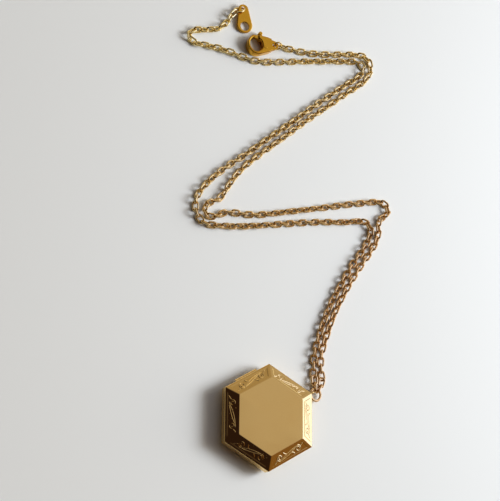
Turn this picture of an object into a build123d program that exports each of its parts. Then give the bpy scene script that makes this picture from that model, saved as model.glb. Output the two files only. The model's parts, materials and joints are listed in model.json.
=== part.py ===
from build123d import *
from math import asin, atan, atan2, cos, degrees, hypot, radians, sin, sqrt, tan
import os

# Hexagonal photo locket on a cable chain, laid out on a flat surface.
# Millimetres. The origin is the middle of the flat back face, +Z comes out of the front face and
# +Y points from the middle of the case to the corner that carries the bail. The hinge is on the -X side.

# ---- driving dimensions: the case
ACROSS_FLATS = 26.0
FACE_ACROSS_FLATS = 18.9
CORNER_RADIUS = 0.5
BACK_BEVEL_HEIGHT = 1.6
BACK_RIM_HEIGHT = 1.3
FRONT_RIM_HEIGHT = 1.4
FRONT_BEVEL_HEIGHT = 1.8
FRONT_SHEET = 0.65
BACK_SHEET = 0.73
SEAM_GAP = 0.04
COLLAR_SHEET = 0.35
COLLAR_ABOVE_SEAM = 0.9
BEAD_RADIUS = 0.15
BEAD_LENGTH = 5.0
BEAD_PROUD = 0.06
NAIL_NICK_RADIUS = 3.0
NAIL_NICK_DEPTH = 0.3

# ---- driving dimensions: the sunk panels of the front bevels, and the scroll cast in each
PANEL_BORDER = 0.45
PANEL_DEPTH = 0.15
SCROLL_HEIGHT = 0.13
SCROLL_LINE = 0.36
CURL_OFFSET = 3.3
CURL_RADIUS = 0.85

# ---- driving dimensions: the hinge
KNUCKLE_RADIUS = 0.5
KNUCKLE_LENGTH = 1.35
KNUCKLE_COUNT = 5
KNUCKLE_GAP = 0.08
HINGE_PIN_RADIUS = 0.23
PIN_HEAD_RADIUS = 0.38
PIN_HEAD_HEIGHT = 0.18
HINGE_BORE_RADIUS = 0.26
HINGE_CLEARANCE = 0.1
HINGE_OUTSET = 0.05

# ---- driving dimensions: the photo fittings
WINDOW_ACROSS_FLATS = 21.6
WINDOW_SHEET = 0.25
FRAME_OPENING = 19.0
FRAME_HEIGHT = 0.5

# ---- driving dimensions: rings, links and chain
LUG_RADIUS = 1.0
LUG_WIRE = 0.5
BAIL_RING_RADIUS = 1.72
BAIL_RING_WIRE = 0.7
END_RING_WIRE = 0.56
CLASP_RING_RADIUS = 1.2
TAG_RING_RADIUS = 1.5
LINK_WIRE = 0.6
LINK_LENGTH = 3.3
LINK_WIDTH = 2.2
LINK_PITCH = 2.06
CHAIN_DIAMETER = 2.0
CHAIN_SIDES = 8
WIRE_SIDES = 8
HOOK_PLAY = 0.2

# ---- driving dimensions: the clasp and the end tag
CLASP_RADIUS = 3.2
CLASP_THICKNESS = 2.5
CLASP_EDGE_ROUND = 0.36
CLASP_SHOULDER_AT = 2.9
CLASP_SHOULDER_RADIUS = 2.5
CLASP_EYE_AT = 5.9
CLASP_EYE_RADIUS = 1.3
CLASP_EYE_THICKNESS = 0.8
EYE_BORE = 0.68
LEVER_THICKNESS = 1.1
LEVER_SLOT = 1.24
RIVET_RADIUS = 0.35
TAG_LENGTH = 9.1
TAG_THICKNESS = 0.75
TAG_NARROW_RADIUS = 1.65
TAG_WIDE_RADIUS = 2.5
TAG_SMALL_BORE = 0.72
TAG_SMALL_INSET = 1.3
TAG_LARGE_BORE = 1.45
TAG_BORE_SPACING = 5.7

# ---- places
SEAM_Z = BACK_BEVEL_HEIGHT + BACK_RIM_HEIGHT
CASE_HEIGHT = SEAM_Z + FRONT_RIM_HEIGHT + FRONT_BEVEL_HEIGHT
HINGE_X = -(ACROSS_FLATS / 2 + HINGE_OUTSET)
LUG_CENTRE = Vector(0, 15.85, 1.8)
BAIL_RING_HEADING = Vector(0.6, 0.8, -0.25)
CLASP_CENTRE = Vector(-100.15, 53.55, 1.3)
CLASP_HEADING = 69.4
TAG_HOLE = Vector(-112.4, 55.45, 1.33)
TAG_HEADING = -22.0
TAG_TILT = 6.4
CLASP_RING_LEAN = 56.0
TAG_RING_LEAN = 44.0

# Routes of the two chain halves, from the bail ring outwards, as the chain lies folded.
CHAIN_Z = 1.05
CLASP_SIDE_ROUTE = [
    (-2.7, 21.8), (-4.5, 22.6), (-6.6, 23.7), (-9.2, 25.7), (-12.3, 29.2), (-15.4, 32.9),
    (-18.8, 37.5), (-22.7, 44.0), (-25.6, 49.5), (-27.5, 53.8), (-29.8, 58.3), (-32.7, 61.7),
    (-36.4, 62.9), (-35.9, 67.9), (-40.3, 68.4), (-42.1, 63.4), (-44.6, 55.5), (-47.0, 46.5),
    (-49.9, 37.4), (-52.3, 28.7), (-55.2, 22.8), (-58.0, 18.7), (-57.2, 14.6), (-59.7, 12.0),
    (-62.4, 14.6), (-61.4, 19.0), (-63.8, 22.7), (-66.9, 28.4), (-68.9, 36.4), (-70.5, 45.9),
    (-72.7, 55.8), (-74.4, 67.0), (-76.1, 75.9), (-76.6, 81.6), (-79.0, 86.8), (-84.1, 87.9),
    (-86.4, 83.6), (-89.1, 75.9), (-91.8, 69.7), (-93.7, 66.3), (-95.7, 63.3),
]
TAG_SIDE_ROUTE = [
    (-4.4, 19.9), (-6.0, 20.8), (-7.9, 22.0), (-10.5, 24.1), (-14.1, 27.8), (-17.0, 31.4),
    (-20.6, 36.2), (-24.6, 42.9), (-27.6, 48.3), (-29.3, 52.2), (-31.6, 56.7), (-34.6, 60.0),
    (-38.0, 58.8), (-39.5, 53.0), (-42.7, 46.1), (-45.9, 37.9), (-48.9, 28.9), (-52.0, 20.7),
    (-54.7, 14.8), (-57.2, 10.5), (-61.7, 10.2), (-65.1, 12.6), (-66.9, 15.9), (-68.4, 20.4),
    (-69.8, 26.6), (-70.6, 33.2), (-72.4, 42.0), (-74.0, 51.7), (-75.9, 60.6), (-77.3, 69.6),
    (-78.5, 75.9), (-78.9, 81.6), (-80.9, 85.1), (-83.8, 84.2), (-85.4, 79.0), (-87.8, 73.0),
    (-90.0, 66.7), (-92.4, 59.6), (-95.5, 51.1), (-99.0, 47.2), (-102.7, 43.2), (-106.0, 38.4),
    (-108.6, 33.9), (-112.1, 35.5), (-110.7, 40.0), (-109.2, 43.9), (-109.6, 47.4), (-111.2, 50.2),
]


def hexagon(across_flats, radius):
    shape = RegularPolygon(across_flats / 2, 6, major_radius=False, rotation=30)
    return fillet(shape.vertices(), radius)


def hex_frustum(z_low, flats_low, z_high, flats_high, radius):
    low = Pos(0, 0, z_low) * hexagon(flats_low, radius)
    high = Pos(0, 0, z_high) * hexagon(flats_high, radius)
    return loft([low.face(), high.face()], ruled=True)


def hex_prism(z_low, z_high, across_flats, radius):
    return Pos(0, 0, z_low) * extrude(hexagon(across_flats, radius), z_high - z_low)


def hex_strip(z_low, z_high, outer, inner, outer_radius, inner_radius):
    return hex_prism(z_low, z_high, outer, outer_radius) - hex_prism(z_low, z_high, inner, inner_radius)


def cover_outside(bevel_height, rim_height):
    bevel = hex_frustum(0, FACE_ACROSS_FLATS, bevel_height, ACROSS_FLATS, CORNER_RADIUS)
    rim = hex_prism(bevel_height, bevel_height + rim_height, ACROSS_FLATS, CORNER_RADIUS)
    return bevel + rim


def inner_bevel_z(bevel_height, sheet, across_flats):
    """Height at which the inside of a half's bevel is that wide, with the half face down at z=0."""
    slope = 2 * bevel_height / (ACROSS_FLATS - FACE_ACROSS_FLATS)
    return sheet / cos(atan(slope)) + (across_flats - FACE_ACROSS_FLATS) / 2 * slope


def inner_bevel_flats(bevel_height, sheet, z):
    """How wide the inside of a half's bevel is at that height."""
    slope = 2 * bevel_height / (ACROSS_FLATS - FACE_ACROSS_FLATS)
    return FACE_ACROSS_FLATS + 2 * (z - sheet / cos(atan(slope))) / slope


def cover_shell(bevel_height, rim_height, sheet):
    """A pressed half: flat face down at z=0, bevel, then a straight rim, in sheet of even thickness."""
    inner_face = inner_bevel_flats(bevel_height, sheet, sheet)
    inner_rim = ACROSS_FLATS - 2 * sheet
    inner_bevel_top = inner_bevel_z(bevel_height, sheet, inner_rim)
    corner = 0.2
    hollow = hex_frustum(sheet, inner_face, inner_bevel_top, inner_rim, corner)
    hollow += hex_prism(inner_bevel_top, bevel_height + rim_height + 1, inner_rim, corner)
    return cover_outside(bevel_height, rim_height) - hollow


def bevel_plane():
    """Middle of the +X bevel of a half that lies face down: X runs along it and Y down the slope."""
    tilt = atan2(FRONT_BEVEL_HEIGHT, (ACROSS_FLATS - FACE_ACROSS_FLATS) / 2)
    middle = ((ACROSS_FLATS + FACE_ACROSS_FLATS) / 4, 0, FRONT_BEVEL_HEIGHT / 2)
    return Plane(middle, x_dir=(0, 1, 0), z_dir=(sin(tilt), 0, -cos(tilt)))


def panel_outline():
    """The bevel's trapezoid less an even border."""
    slant = hypot(FRONT_BEVEL_HEIGHT, (ACROSS_FLATS - FACE_ACROSS_FLATS) / 2)
    face_half = FACE_ACROSS_FLATS / 2 / sqrt(3)
    rim_half = ACROSS_FLATS / 2 / sqrt(3)
    mitre = atan2(rim_half - face_half, slant)
    reach = slant / 2 - PANEL_BORDER
    inset = PANEL_BORDER / cos(mitre)
    short = face_half + PANEL_BORDER * tan(mitre) - inset
    long = rim_half - PANEL_BORDER * tan(mitre) - inset
    return Polygon((-short, -reach), (short, -reach), (long, reach), (-long, reach), align=None)


def scroll_outline():
    """An S-scroll: a round curl near each end of the panel, and a straight stem tangent to both."""
    curl = Circle(CURL_RADIUS + SCROLL_LINE / 2) - Circle(CURL_RADIUS - SCROLL_LINE / 2)
    lean = degrees(asin(CURL_RADIUS / CURL_OFFSET))
    stem = Rot(0, 0, lean) * Rectangle(2 * sqrt(CURL_OFFSET ** 2 - CURL_RADIUS ** 2), SCROLL_LINE)
    return stem + Pos(CURL_OFFSET, 0) * curl + Pos(-CURL_OFFSET, 0) * curl


def carve_bevels(shell):
    """Sinks a panel into each bevel of a half that lies face down, and raises its scroll."""
    panel = bevel_plane() * extrude(panel_outline(), -PANEL_DEPTH)
    floor = bevel_plane() * Pos(0, 0, -PANEL_DEPTH)
    scroll = floor * extrude(scroll_outline(), SCROLL_HEIGHT)
    for side in range(6):
        shell = shell - Rot(0, 0, 60 * side) * panel + Rot(0, 0, 60 * side) * scroll
    return shell


def hinge_rod(radius, y_low, y_high):
    rod = extrude(Circle(radius), y_high - y_low)
    return Pos(HINGE_X, y_high, SEAM_Z) * Rot(90, 0, 0) * rod


def knuckle_span(index):
    """Where knuckle number index begins and ends along Y."""
    pitch = KNUCKLE_LENGTH + KNUCKLE_GAP
    start = -(KNUCKLE_COUNT * pitch - KNUCKLE_GAP) / 2 + index * pitch
    return start, start + KNUCKLE_LENGTH


def hinge_cut(own):
    """What a rim loses to the hinge: snug seats for its own knuckles and room for the other half's."""
    cut = None
    for index in range(KNUCKLE_COUNT):
        start, end = knuckle_span(index)
        if index in own:
            piece = hinge_rod(KNUCKLE_RADIUS, start, end)
        else:
            piece = hinge_rod(KNUCKLE_RADIUS + HINGE_CLEARANCE, start - KNUCKLE_GAP, end + KNUCKLE_GAP)
        cut = piece if cut is None else cut + piece
    low = knuckle_span(0)[0]
    high = knuckle_span(KNUCKLE_COUNT - 1)[1]
    room = 0.3
    for start in (low - room, high):
        cut += hinge_rod(PIN_HEAD_RADIUS + HINGE_CLEARANCE, start, start + room)
    return cut


def knuckles(own):
    made = []
    for index in own:
        start, end = knuckle_span(index)
        bore = hinge_rod(HINGE_BORE_RADIUS, start - 1, end + 1)
        made.append(hinge_rod(KNUCKLE_RADIUS, start, end) - bore)
    return Compound(children=made)


def nail_nick():
    return Pos(ACROSS_FLATS / 2 + NAIL_NICK_RADIUS - NAIL_NICK_DEPTH, 0, SEAM_Z) * Sphere(NAIL_NICK_RADIUS)


BACK_KNUCKLES = (0, 2, 4)
FRONT_KNUCKLES = (1, 3)


def back_cover():
    shell = cover_shell(BACK_BEVEL_HEIGHT, BACK_RIM_HEIGHT - SEAM_GAP / 2, BACK_SHEET)
    return shell - hinge_cut(BACK_KNUCKLES) - nail_nick()


def front_cover():
    shell = cover_shell(FRONT_BEVEL_HEIGHT, FRONT_RIM_HEIGHT - SEAM_GAP / 2, FRONT_SHEET)
    closed = Pos(0, 0, CASE_HEIGHT) * Rot(180, 0, 0) * carve_bevels(shell)
    return closed - hinge_cut(FRONT_KNUCKLES) - nail_nick()


def hinge_pin():
    low = knuckle_span(0)[0]
    high = knuckle_span(KNUCKLE_COUNT - 1)[1]
    gap = 0.02
    pin = hinge_rod(HINGE_PIN_RADIUS, low - gap, high + gap)
    for start in (low - gap - PIN_HEAD_HEIGHT, high + gap):
        pin += hinge_rod(PIN_HEAD_RADIUS, start, start + PIN_HEAD_HEIGHT)
    return pin


def collar_outer():
    return ACROSS_FLATS - 2 * BACK_SHEET


def seating_collar():
    """Inner strip of the back half; the front rim slides down round its upper part."""
    foot_z = inner_bevel_z(BACK_BEVEL_HEIGHT, BACK_SHEET, collar_outer())
    inner = collar_outer() - 2 * COLLAR_SHEET
    strip = hex_strip(foot_z, SEAM_Z + COLLAR_ABOVE_SEAM, collar_outer(), inner, 0.2, 0.2)
    return strip - catch_bead()


def catch_bead():
    """Wire let into the outside of the collar, opposite the hinge; the front rim snaps over it."""
    wire = Rot(90, 0, 0) * extrude(Circle(BEAD_RADIUS), BEAD_LENGTH / 2, both=True)
    return Pos(collar_outer() / 2 + BEAD_PROUD - BEAD_RADIUS, 0, SEAM_Z + COLLAR_ABOVE_SEAM / 2) * wire


def photo_fittings(bevel_height, sheet):
    """Clear window and the hexagonal frame that holds it, in a half that lies face down at z=0."""
    window_z = inner_bevel_z(bevel_height, sheet, WINDOW_ACROSS_FLATS)
    window = hex_prism(window_z, window_z + WINDOW_SHEET, WINDOW_ACROSS_FLATS, 0.3)
    frame_z = window_z + WINDOW_SHEET
    frame_outer = inner_bevel_flats(bevel_height, sheet, frame_z)
    frame = hex_strip(frame_z, frame_z + FRAME_HEIGHT, frame_outer, FRAME_OPENING, 0.3, 0.6)
    lip = frame.faces().sort_by(Axis.Z)[-1].inner_wires()[0].edges()
    frame = chamfer(lip, FRAME_HEIGHT * 0.6)
    return window, frame


def torus_wire(radius, wire):
    return Torus(radius, wire / 2)


def bail_lug():
    """Small upright ring whose foot of solder hugs the corner of the back half's rim."""
    corner_y = ACROSS_FLATS / sqrt(3) - CORNER_RADIUS * (2 / sqrt(3) - 1)
    ring = Pos(*LUG_CENTRE) * Rot(0, 90, 0) * torus_wire(LUG_RADIUS, LUG_WIRE)
    ring -= Pos(0, corner_y - 2, LUG_CENTRE.Z) * Box(4, 4, 4)
    foot = Pos(0, corner_y, LUG_CENTRE.Z) * Cylinder(LUG_WIRE / 2, 1.1)
    foot -= hex_prism(0, SEAM_Z + 1, ACROSS_FLATS, CORNER_RADIUS)
    return ring + foot


def bail_ring_plane():
    heading = BAIL_RING_HEADING.normalized()
    level = Vector(-heading.Y, heading.X, 0).normalized()
    return Plane(LUG_CENTRE + heading * BAIL_RING_RADIUS, x_dir=heading, z_dir=heading.cross(level))


def bail_ring():
    return bail_ring_plane() * torus_wire(BAIL_RING_RADIUS, BAIL_RING_WIRE)


def bail_hook_point(bearing):
    """Inside of the bail ring's wire, on the side that the compass bearing (degrees from +X) gives."""
    plane = bail_ring_plane()
    level = Vector(cos(radians(bearing)), sin(radians(bearing)), 0)
    across = level - plane.z_dir * level.dot(plane.z_dir)
    return plane.origin + across.normalized() * (BAIL_RING_RADIUS - BAIL_RING_WIRE / 2 - HOOK_PLAY)


def chain_link(start, end, lean):
    """One oval link round the two contact points. Lean 0 lies flat and 90 stands on edge."""
    along = (end - start).normalized()
    level = Vector(-along.Y, along.X, 0).normalized()
    upright = along.cross(level)
    normal = upright * cos(radians(lean)) - level * sin(radians(lean))
    radius = (LINK_WIDTH - LINK_WIRE) / 2
    straight = LINK_LENGTH - LINK_WIDTH
    section = Pos(radius, 0) * RegularPolygon(LINK_WIRE / 2, WIRE_SIDES)
    bow = revolve(Plane.YZ * section, Axis.Z, 180)
    side = extrude(Plane.YZ * section, straight / 2, both=True)
    link = Pos(-straight / 2, 0, 0) * bow + Pos(straight / 2, 0, 0) * Rot(0, 0, 180) * bow
    link += side + Rot(0, 0, 180) * side
    return Plane((start + end) / 2, x_dir=along, z_dir=normal) * link


def chain_run(start, headings, heights, first_lean):
    """A few linked ovals from a hook point; the heading and the end height of each are given."""
    links = []
    lean = first_lean
    for heading, height in zip(headings, heights):
        end = start + Vector(cos(radians(heading)), sin(radians(heading)), 0) * LINK_PITCH
        end = Vector(end.X, end.Y, height)
        links.append(chain_link(start, end, lean))
        start = end
        lean = 90 - lean
    return Compound(children=links)


def chain_tube(name, route):
    """The plain envelope of the chain: straight runs joined by tangent arcs, printed for checking."""
    points = [Vector(x, y, CHAIN_Z) for x, y in route]
    runs = [(b - a).length for a, b in zip(points, points[1:])]
    radii = []
    for index in range(1, len(points) - 1):
        turn = (points[index] - points[index - 1]).get_angle(points[index + 1] - points[index])
        radii.append(0.45 * min(runs[index - 1], runs[index]) / tan(radians(turn / 2)))
    path = FilletPolyline(*points, radius=radii)
    section = RegularPolygon(CHAIN_DIAMETER / 2, CHAIN_SIDES)
    tube = sweep(Plane(path @ 0, z_dir=path % 0) * section, path=path)
    expected = path.length * section.area
    print(name, "length", round(path.length, 1), "mm, radii", [round(r, 1) for r in radii])
    print(name, "volume", round(tube.volume, 1), "against", round(expected, 1))
    return tube


# ---- the clasp, drawn with its hook round the origin, its eye on +X and its knob towards +Y
PIVOT = (2.5, -0.9)


def place_clasp(shape):
    return Pos(*CLASP_CENTRE) * Rot(0, 0, CLASP_HEADING) * shape


def clasp_opening():
    return Pos(-0.35, 0) * Ellipse(2.05, 2.3)


def clasp_body():
    shoulder = Pos(CLASP_SHOULDER_AT, 0) * Circle(CLASP_SHOULDER_RADIUS)
    eye = Pos(CLASP_EYE_AT, 0) * Circle(CLASP_EYE_RADIUS)
    outline = make_hull((Circle(CLASP_RADIUS) + shoulder + eye).edges()) - clasp_opening()
    body = extrude(outline, CLASP_THICKNESS / 2, both=True)
    faces = body.faces().sort_by(Axis.Z)
    body = fillet(faces[0].edges() + faces[-1].edges(), CLASP_EDGE_ROUND)
    spare = (CLASP_THICKNESS - CLASP_EYE_THICKNESS) / 2
    for side in (-1, 1):
        z = side * (CLASP_EYE_THICKNESS + spare) / 2
        body -= Pos(CLASP_EYE_AT + 0.9, 0, z) * Box(4.0, 4.0, spare)
    body -= Pos(CLASP_EYE_AT, 0, 0) * Cylinder(EYE_BORE, CLASP_THICKNESS)
    body -= Pos(0.225, 3.0, 0) * Box(1.55, 3.0, CLASP_THICKNESS + 1)
    slot = Pos(2.6, 1.55) * Rectangle(3.2, 4.9) + Pos(*PIVOT) * Circle(1.05)
    body -= extrude(slot, LEVER_SLOT / 2, both=True)
    body -= Pos(*PIVOT, 0) * Cylinder(RIVET_RADIUS + 0.01, CLASP_THICKNESS)
    return body


def clasp_lever():
    """Gate: the band that closes the hook, an arm down to the rivet, and the thumb knob outside."""
    window = Pos(1.075, 2.6) * Rectangle(3.05, 2.8)
    band = (Circle(CLASP_RADIUS) - clasp_opening()) & window
    arm = Polygon((1.75, 1.4), (2.6, 1.9), (3.3, -0.9), (1.7, -0.9), align=None)
    boss = Pos(*PIVOT) * Circle(0.95)
    neck = Pos(1.75, 3.3) * Rectangle(0.9, 1.0)
    lever = extrude(band + arm + boss + neck, LEVER_THICKNESS / 2, both=True)
    knob = fillet(extrude(Circle(0.62), 0.8, both=True).edges().filter_by(GeomType.CIRCLE), 0.2)
    lever += Pos(1.75, 3.75, 0) * knob
    lever -= Pos(*PIVOT, 0) * Cylinder(RIVET_RADIUS + 0.09, CLASP_THICKNESS)
    lever -= Pos(*PIVOT, 0.36) * Cylinder(1.0, 0.38)
    return lever


def clasp_pivot():
    rivet = Pos(*PIVOT, 0) * Cylinder(RIVET_RADIUS, CLASP_THICKNESS)
    dome = Pos(*PIVOT, CLASP_THICKNESS / 2) * extrude(Circle(0.55), 0.12)
    return rivet + fillet(dome.edges().sort_by(Axis.Z)[-1], 0.08)


def clasp_spring():
    """Closed coil spring round the rivet, in the pocket of the lever's boss."""
    coil = extrude(Circle(0.86) - Circle(0.58), 0.14, both=True)
    return Pos(*PIVOT, 0.38) * coil


def clasp_ring():
    ring = Rot(CLASP_RING_LEAN, 0, 0) * torus_wire(CLASP_RING_RADIUS, END_RING_WIRE)
    return Pos(CLASP_EYE_AT + CLASP_RING_RADIUS, 0, 0) * ring


def clasp_end_link():
    reach = CLASP_EYE_AT + 2 * CLASP_RING_RADIUS - END_RING_WIRE / 2 - 0.02
    out = Vector(cos(radians(CLASP_HEADING)), sin(radians(CLASP_HEADING)), 0)
    start = CLASP_CENTRE + out * reach
    return chain_run(start, [52.7], [CHAIN_Z], CLASP_RING_LEAN - 90)


# ---- the end tag, drawn with its small hole at the origin and its wide end on +X
def place_tag(shape):
    return Pos(*TAG_HOLE) * Rot(0, 0, TAG_HEADING) * Rot(0, TAG_TILT, 0) * shape


def end_tag():
    narrow = Pos(TAG_NARROW_RADIUS - TAG_SMALL_INSET, 0) * Circle(TAG_NARROW_RADIUS)
    wide = Pos(TAG_LENGTH - TAG_WIDE_RADIUS - TAG_SMALL_INSET, 0) * Circle(TAG_WIDE_RADIUS)
    outline = make_hull((narrow + wide).edges())
    outline -= Circle(TAG_SMALL_BORE)
    outline -= Pos(TAG_BORE_SPACING, 0) * Circle(TAG_LARGE_BORE)
    tag = extrude(outline, TAG_THICKNESS / 2, both=True)
    faces = tag.faces().sort_by(Axis.Z)
    return fillet(faces[0].outer_wire().edges() + faces[-1].outer_wire().edges(), 0.25)


def tag_ring():
    ring = Rot(TAG_RING_LEAN, 0, 0) * torus_wire(TAG_RING_RADIUS, END_RING_WIRE)
    return Pos(*TAG_HOLE) * Rot(0, 0, -90) * Pos(TAG_RING_RADIUS, 0, 0) * ring


def tag_end_link():
    start = TAG_HOLE - Vector(0, 2 * TAG_RING_RADIUS - END_RING_WIRE / 2 - 0.02, 0)
    return chain_run(start, [-70.0], [CHAIN_Z], TAG_RING_LEAN - 90)


def build():
    back_window, back_frame = photo_fittings(BACK_BEVEL_HEIGHT, BACK_SHEET)
    front_fittings = photo_fittings(FRONT_BEVEL_HEIGHT, FRONT_SHEET)
    front_window, front_frame = [
        Pos(0, 0, CASE_HEIGHT) * Rot(180, 0, 0) * piece for piece in front_fittings
    ]
    clasp_side_start = bail_hook_point(112)
    tag_side_start = bail_hook_point(158)
    return {
        "back_cover": back_cover(),
        "front_cover": front_cover(),
        "back_hinge_knuckles": knuckles(BACK_KNUCKLES),
        "front_hinge_knuckles": knuckles(FRONT_KNUCKLES),
        "hinge_pin": hinge_pin(),
        "seating_collar": seating_collar(),
        "catch_bead": catch_bead(),
        "back_photo_window": back_window,
        "back_photo_frame": back_frame,
        "front_photo_window": front_window,
        "front_photo_frame": front_frame,
        "bail_lug": bail_lug(),
        "bail_ring": bail_ring(),
        "bail_links_clasp_side": chain_run(clasp_side_start, [120, 134], [1.12, 1.08], 90),
        "bail_links_tag_side": chain_run(tag_side_start, [153, 151], [1.22, 1.1], 90),
        "clasp_side_chain": chain_tube("clasp_side_chain", CLASP_SIDE_ROUTE),
        "tag_side_chain": chain_tube("tag_side_chain", TAG_SIDE_ROUTE),
        "clasp_body": place_clasp(clasp_body()),
        "clasp_lever": place_clasp(clasp_lever()),
        "clasp_pivot": place_clasp(clasp_pivot()),
        "clasp_spring": place_clasp(clasp_spring()),
        "clasp_ring": place_clasp(clasp_ring()),
        "clasp_end_link": clasp_end_link(),
        "end_tag": place_tag(end_tag()),
        "tag_ring": tag_ring(),
        "tag_end_link": tag_end_link(),
    }


os.makedirs("parts", exist_ok=True)
for node, shape in build().items():
    export_step(shape, f"parts/{node}.step")
    print(node, round(shape.volume, 2))
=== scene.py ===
# %% [markdown]
# A hexagonal locket on a folded cable chain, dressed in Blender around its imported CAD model. The
# CAD holds the sizes and the joints. This notebook adds what the eye judges: the cast scrolls on
# the bevels, every link of the chain, the polish of the gold, and soft light on a pale table. All
# lengths that belong to the jewel are written in millimetres and turned to metres by one factor.
# The table, the lamp and the room are stage, and are written in metres.

# %% The frame
import json
import math
import random

import bmesh
import bpy
import numpy as np
from mathutils import Matrix, Vector


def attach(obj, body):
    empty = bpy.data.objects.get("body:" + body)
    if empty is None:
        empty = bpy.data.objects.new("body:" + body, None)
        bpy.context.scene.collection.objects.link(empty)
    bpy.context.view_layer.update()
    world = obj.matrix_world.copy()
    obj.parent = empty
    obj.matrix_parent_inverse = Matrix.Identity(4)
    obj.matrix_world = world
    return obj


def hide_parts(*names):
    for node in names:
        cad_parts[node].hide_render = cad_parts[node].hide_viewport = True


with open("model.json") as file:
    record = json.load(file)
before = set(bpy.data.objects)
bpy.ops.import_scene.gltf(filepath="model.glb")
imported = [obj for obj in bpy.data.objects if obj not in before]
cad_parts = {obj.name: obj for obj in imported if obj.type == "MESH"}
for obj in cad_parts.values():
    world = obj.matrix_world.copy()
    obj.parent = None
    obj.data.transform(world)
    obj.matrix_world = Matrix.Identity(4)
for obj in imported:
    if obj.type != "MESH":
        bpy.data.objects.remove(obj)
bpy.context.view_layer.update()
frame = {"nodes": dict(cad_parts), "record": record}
nodes = frame["nodes"]
MM = 0.001

# %% [markdown]
# The camera stands above and in front of the corner opposite the bail, and looks down about 64
# degrees through a short telephoto lens, which keeps the near case and the far end of the chain in
# scale. It is rolled, so that the chain runs away from the locket towards the top of the view. Its
# place and its two axes are set in the locket's own frame, which keeps the view the same whatever
# else changes.

# %% Camera
CAMERA_PLACE = Vector((-19.01, -130.58, 312.76))
CAMERA_RIGHT = Vector((0.4582, 0.8145, 0.3559))
CAMERA_UP = Vector((-0.8858, 0.3855, 0.2582))
CAMERA_LENS = 86.4
SENSOR_WIDTH = 36.0
NEAREST_SEEN, FURTHEST_SEEN = 0.01, 20


def make_camera():
    lens = bpy.data.cameras.new("camera")
    lens.lens = CAMERA_LENS
    lens.sensor_fit = "HORIZONTAL"
    lens.sensor_width = SENSOR_WIDTH
    lens.clip_start = NEAREST_SEEN
    lens.clip_end = FURTHEST_SEEN
    camera = bpy.data.objects.new("camera", lens)
    back = CAMERA_RIGHT.cross(CAMERA_UP).normalized()
    up = back.cross(CAMERA_RIGHT).normalized()
    axes = Matrix((up.cross(back), up, back)).transposed()
    camera.matrix_world = Matrix.Translation(CAMERA_PLACE * MM) @ axes.to_4x4()
    bpy.context.scene.collection.objects.link(camera)
    bpy.context.scene.camera = camera
    return camera


camera = make_camera()
bpy.context.scene.view_settings.view_transform = "Standard"
print("camera at", [round(x, 4) for x in camera.matrix_world.translation])

# %% [markdown]
# The chain is two limp rows of links that both start at the bail ring. On a table the chain lies
# flat, so one level route says where each row lies. It is the route that the CAD tube follows: its
# points are the control points of a smooth NURBS line, and the links are threaded on the points
# read back from that line.

# %% Routes of the two rows
CHAIN_HEIGHT = 1.05
CLASP_SIDE_ROUTE = [
    (-2.7, 21.8), (-4.5, 22.6), (-6.6, 23.7), (-9.2, 25.7), (-12.3, 29.2), (-15.4, 32.9),
    (-18.8, 37.5), (-22.7, 44.0), (-25.6, 49.5), (-27.5, 53.8), (-29.8, 58.3), (-32.7, 61.7),
    (-36.4, 62.9), (-35.9, 67.9), (-40.3, 68.4), (-42.1, 63.4), (-44.6, 55.5), (-47.0, 46.5),
    (-49.9, 37.4), (-52.3, 28.7), (-55.2, 22.8), (-58.0, 18.7), (-57.2, 14.6), (-59.7, 12.0),
    (-62.4, 14.6), (-61.4, 19.0), (-63.8, 22.7), (-66.9, 28.4), (-68.9, 36.4), (-70.5, 45.9),
    (-72.7, 55.8), (-74.4, 67.0), (-76.1, 75.9), (-76.6, 81.6), (-79.0, 86.8), (-84.1, 87.9),
    (-86.4, 83.6), (-89.1, 75.9), (-91.8, 69.7), (-93.7, 66.3), (-95.7, 63.3),
]
TAG_SIDE_ROUTE = [
    (-4.4, 19.9), (-6.0, 20.8), (-7.9, 22.0), (-10.5, 24.1), (-14.1, 27.8), (-17.0, 31.4),
    (-20.6, 36.2), (-24.6, 42.9), (-27.6, 48.3), (-29.3, 52.2), (-31.6, 56.7), (-34.6, 60.0),
    (-38.0, 58.8), (-39.5, 53.0), (-42.7, 46.1), (-45.9, 37.9), (-48.9, 28.9), (-52.0, 20.7),
    (-54.7, 14.8), (-57.2, 10.5), (-61.7, 10.2), (-65.1, 12.6), (-66.9, 15.9), (-68.4, 20.4),
    (-69.8, 26.6), (-70.6, 33.2), (-72.4, 42.0), (-74.0, 51.7), (-75.9, 60.6), (-77.3, 69.6),
    (-78.5, 75.9), (-78.9, 81.6), (-80.9, 85.1), (-83.8, 84.2), (-85.4, 79.0), (-87.8, 73.0),
    (-90.0, 66.7), (-92.4, 59.6), (-95.5, 51.1), (-99.0, 47.2), (-102.7, 43.2), (-106.0, 38.4),
    (-108.6, 33.9), (-112.1, 35.5), (-110.7, 40.0), (-109.2, 43.9), (-109.6, 47.4), (-111.2, 50.2),
]
LINE_ORDER = 3
LINE_STEPS = 16


def points_on_nurbs(route):
    """Points in metres along the smooth line that the route's control points pull."""
    curve = bpy.data.curves.new("route", "CURVE")
    curve.dimensions = "3D"
    spline = curve.splines.new("NURBS")
    spline.points.add(len(route) - 1)
    for point, (x, y) in zip(spline.points, route):
        point.co = (x * MM, y * MM, CHAIN_HEIGHT * MM, 1)
    spline.order_u = LINE_ORDER
    spline.use_endpoint_u = True
    spline.resolution_u = LINE_STEPS
    holder = bpy.data.objects.new("route", curve)
    bpy.context.scene.collection.objects.link(holder)
    mesh = bpy.data.meshes.new_from_object(holder)
    points = [v.co.copy() for v in mesh.vertices]
    bpy.data.objects.remove(holder)
    bpy.data.curves.remove(curve)
    bpy.data.meshes.remove(mesh)
    return points


def length_of(points):
    return sum((b - a).length for a, b in zip(points, points[1:]))


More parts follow.
